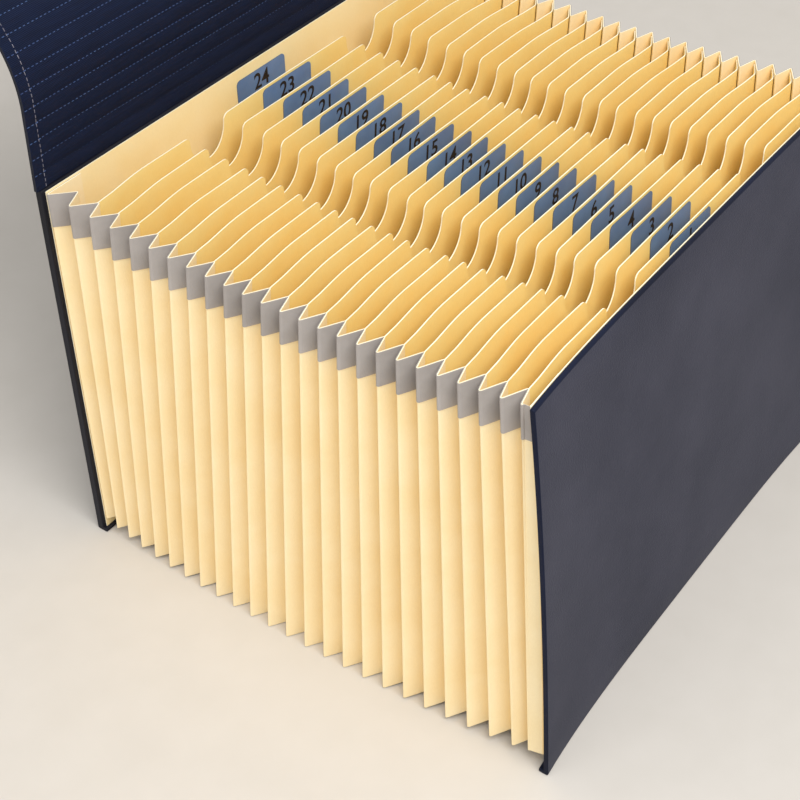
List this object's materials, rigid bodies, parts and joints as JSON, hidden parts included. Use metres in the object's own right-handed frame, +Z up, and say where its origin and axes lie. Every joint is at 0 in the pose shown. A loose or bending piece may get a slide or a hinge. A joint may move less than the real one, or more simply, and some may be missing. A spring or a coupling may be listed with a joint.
{
  "type": "document folder",
  "caption": "Expanding document folder standing open: two stiff covers, pleated paper sides and floor, labelled dividers with thumb notches, and a ribbed flap that folds over the top.",
  "frame": {"origin": "bottom centre of the bounding box at rest, flap laid back", "axes": "+Z up, -Y towards the front cover, +X along the covers' width"},
  "size_m": [0.362, 0.4884, 0.4009],
  "materials": {
    "pleated_paper": "matte",
    "sheet_paper": "matte",
    "edge_tape": "matte",
    "label_card": "satin",
    "front_board": "satin",
    "rear_board": "satin",
    "ribbed_flap": "satin"
  },
  "bodies": {
    "rear_frame": {"back_cover": "rear_board", "back_liner": "sheet_paper", "index_label_24": "label_card", "left_gusset": "pleated_paper", "right_gusset": "pleated_paper", "left_gusset_tape": "edge_tape", "right_gusset_tape": "edge_tape", "bottom_gusset": "pleated_paper"},
    "front_frame": {"front_cover": "front_board", "front_liner": "sheet_paper"},
    "divider_body_01": {"divider_01": "sheet_paper", "index_label_01": "label_card"},
    "divider_body_02": {"divider_02": "sheet_paper", "index_label_02": "label_card"},
    "divider_body_03": {"divider_03": "sheet_paper", "index_label_03": "label_card"},
    "divider_body_04": {"divider_04": "sheet_paper", "index_label_04": "label_card"},
    "divider_body_05": {"divider_05": "sheet_paper", "index_label_05": "label_card"},
    "divider_body_06": {"divider_06": "sheet_paper", "index_label_06": "label_card"},
    "divider_body_07": {"divider_07": "sheet_paper", "index_label_07": "label_card"},
    "divider_body_08": {"divider_08": "sheet_paper", "index_label_08": "label_card"},
    "divider_body_09": {"divider_09": "sheet_paper", "index_label_09": "label_card"},
    "divider_body_10": {"divider_10": "sheet_paper", "index_label_10": "label_card"},
    "divider_body_11": {"divider_11": "sheet_paper", "index_label_11": "label_card"},
    "divider_body_12": {"divider_12": "sheet_paper", "index_label_12": "label_card"},
    "divider_body_13": {"divider_13": "sheet_paper", "index_label_13": "label_card"},
    "divider_body_14": {"divider_14": "sheet_paper", "index_label_14": "label_card"},
    "divider_body_15": {"divider_15": "sheet_paper", "index_label_15": "label_card"},
    "divider_body_16": {"divider_16": "sheet_paper", "index_label_16": "label_card"},
    "divider_body_17": {"divider_17": "sheet_paper", "index_label_17": "label_card"},
    "divider_body_18": {"divider_18": "sheet_paper", "index_label_18": "label_card"},
    "divider_body_19": {"divider_19": "sheet_paper", "index_label_19": "label_card"},
    "divider_body_20": {"divider_20": "sheet_paper", "index_label_20": "label_card"},
    "divider_body_21": {"divider_21": "sheet_paper", "index_label_21": "label_card"},
    "divider_body_22": {"divider_22": "sheet_paper", "index_label_22": "label_card"},
    "divider_body_23": {"divider_23": "sheet_paper", "index_label_23": "label_card"},
    "flap_spine_lower_body": {"flap_spine_lower": "ribbed_flap"},
    "flap_spine_middle_body": {"flap_spine_middle": "ribbed_flap"},
    "flap_spine_upper_body": {"flap_spine_upper": "ribbed_flap"},
    "flap_end_panel_body": {"flap_end_panel": "ribbed_flap"}
  },
  "joints": [
    {"name": "collapse", "type": "slide", "parent": "rear_frame", "child": "front_frame", "axis": [0, 1, 0], "range_m": [0, 0.21264], "deforming": ["left_gusset", "right_gusset", "left_gusset_tape", "right_gusset_tape", "bottom_gusset"]},
    {"name": "divider_01_slide", "type": "slide", "parent": "rear_frame", "child": "divider_body_01", "axis": [0, 1, 0], "range_m": [0, 0.20644]},
    {"name": "divider_02_slide", "type": "slide", "parent": "rear_frame", "child": "divider_body_02", "axis": [0, 1, 0], "range_m": [0, 0.19762]},
    {"name": "divider_03_slide", "type": "slide", "parent": "rear_frame", "child": "divider_body_03", "axis": [0, 1, 0], "range_m": [0, 0.18883]},
    {"name": "divider_04_slide", "type": "slide", "parent": "rear_frame", "child": "divider_body_04", "axis": [0, 1, 0], "range_m": [0, 0.18005]},
    {"name": "divider_05_slide", "type": "slide", "parent": "rear_frame", "child": "divider_body_05", "axis": [0, 1, 0], "range_m": [0, 0.17128]},
    {"name": "divider_06_slide", "type": "slide", "parent": "rear_frame", "child": "divider_body_06", "axis": [0, 1, 0], "range_m": [0, 0.16252]},
    {"name": "divider_07_slide", "type": "slide", "parent": "rear_frame", "child": "divider_body_07", "axis": [0, 1, 0], "range_m": [0, 0.15375]},
    {"name": "divider_08_slide", "type": "slide", "parent": "rear_frame", "child": "divider_body_08", "axis": [0, 1, 0], "range_m": [0, 0.14499]},
    {"name": "divider_09_slide", "type": "slide", "parent": "rear_frame", "child": "divider_body_09", "axis": [0, 1, 0], "range_m": [0, 0.13621]},
    {"name": "divider_10_slide", "type": "slide", "parent": "rear_frame", "child": "divider_body_10", "axis": [0, 1, 0], "range_m": [0, 0.12741]},
    {"name": "divider_11_slide", "type": "slide", "parent": "rear_frame", "child": "divider_body_11", "axis": [0, 1, 0], "range_m": [0, 0.11859]},
    {"name": "divider_12_slide", "type": "slide", "parent": "rear_frame", "child": "divider_body_12", "axis": [0, 1, 0], "range_m": [0, 0.10972]},
    {"name": "divider_13_slide", "type": "slide", "parent": "rear_frame", "child": "divider_body_13", "axis": [0, 1, 0], "range_m": [0, 0.10081]},
    {"name": "divider_14_slide", "type": "slide", "parent": "rear_frame", "child": "divider_body_14", "axis": [0, 1, 0], "range_m": [0, 0.09183]},
    {"name": "divider_15_slide", "type": "slide", "parent": "rear_frame", "child": "divider_body_15", "axis": [0, 1, 0], "range_m": [0, 0.08276]},
    {"name": "divider_16_slide", "type": "slide", "parent": "rear_frame", "child": "divider_body_16", "axis": [0, 1, 0], "range_m": [0, 0.07358]},
    {"name": "divider_17_slide", "type": "slide", "parent": "rear_frame", "child": "divider_body_17", "axis": [0, 1, 0], "range_m": [0, 0.06426]},
    {"name": "divider_18_slide", "type": "slide", "parent": "rear_frame", "child": "divider_body_18", "axis": [0, 1, 0], "range_m": [0, 0.05475]},
    {"name": "divider_19_slide", "type": "slide", "parent": "rear_frame", "child": "divider_body_19", "axis": [0, 1, 0], "range_m": [0, 0.04504]},
    {"name": "divider_20_slide", "type": "slide", "parent": "rear_frame", "child": "divider_body_20", "axis": [0, 1, 0], "range_m": [0, 0.03524]},
    {"name": "divider_21_slide", "type": "slide", "parent": "rear_frame", "child": "divider_body_21", "axis": [0, 1, 0], "range_m": [0, 0.02581]},
    {"name": "divider_22_slide", "type": "slide", "parent": "rear_frame", "child": "divider_body_22", "axis": [0, 1, 0], "range_m": [0, 0.01683]},
    {"name": "divider_23_slide", "type": "slide", "parent": "rear_frame", "child": "divider_body_23", "axis": [0, 1, 0], "range_m": [0, 0.00841]},
    {"name": "flap_fold", "type": "hinge", "parent": "rear_frame", "child": "flap_spine_lower_body", "pos_m": [0, 0.07235, 0.24015], "axis": [1, 0, 0], "range_deg": [0, 88]},
    {"name": "flap_first_bend", "type": "hinge", "parent": "flap_spine_lower_body", "child": "flap_spine_middle_body", "pos_m": [0, 0.08105, 0.3195], "axis": [1, 0, 0], "range_deg": [0, 62.5]},
    {"name": "flap_second_bend", "type": "hinge", "parent": "flap_spine_middle_body", "child": "flap_spine_upper_body", "pos_m": [0, 0.21934, 0.39871], "axis": [1, 0, 0], "range_deg": [0, 115.5]},
    {"name": "flap_end_fold", "type": "hinge", "parent": "flap_spine_upper_body", "child": "flap_end_panel_body", "pos_m": [0, 0.23456, 0.33091], "axis": [1, 0, 0], "range_deg": [0, 90.5]}
  ],
  "couplings": [
    {"joint": "divider_01_slide", "follows": "collapse", "ratio": 0.96847},
    {"joint": "divider_02_slide", "follows": "collapse", "ratio": 0.92703},
    {"joint": "divider_03_slide", "follows": "collapse", "ratio": 0.88567},
    {"joint": "divider_04_slide", "follows": "collapse", "ratio": 0.84439},
    {"joint": "divider_05_slide", "follows": "collapse", "ratio": 0.80315},
    {"joint": "divider_06_slide", "follows": "collapse", "ratio": 0.76193},
    {"joint": "divider_07_slide", "follows": "collapse", "ratio": 0.72072},
    {"joint": "divider_08_slide", "follows": "collapse", "ratio": 0.67949},
    {"joint": "divider_09_slide", "follows": "collapse", "ratio": 0.63821},
    {"joint": "divider_10_slide", "follows": "collapse", "ratio": 0.59684},
    {"joint": "divider_11_slide", "follows": "collapse", "ratio": 0.55534},
    {"joint": "divider_12_slide", "follows": "collapse", "ratio": 0.51366},
    {"joint": "divider_13_slide", "follows": "collapse", "ratio": 0.47174},
    {"joint": "divider_14_slide", "follows": "collapse", "ratio": 0.4295},
    {"joint": "divider_15_slide", "follows": "collapse", "ratio": 0.38685},
    {"joint": "divider_16_slide", "follows": "collapse", "ratio": 0.34368},
    {"joint": "divider_17_slide", "follows": "collapse", "ratio": 0.29983},
    {"joint": "divider_18_slide", "follows": "collapse", "ratio": 0.25514},
    {"joint": "divider_19_slide", "follows": "collapse", "ratio": 0.20948},
    {"joint": "divider_20_slide", "follows": "collapse", "ratio": 0.16338},
    {"joint": "divider_21_slide", "follows": "collapse", "ratio": 0.11901},
    {"joint": "divider_22_slide", "follows": "collapse", "ratio": 0.07678},
    {"joint": "divider_23_slide", "follows": "collapse", "ratio": 0.0372},
    {"joint": "flap_first_bend", "follows": "flap_fold", "ratio": 0.70455},
    {"joint": "flap_second_bend", "follows": "flap_fold", "ratio": 1.3068},
    {"joint": "flap_end_fold", "follows": "flap_fold", "ratio": 1.0227}
  ]
}
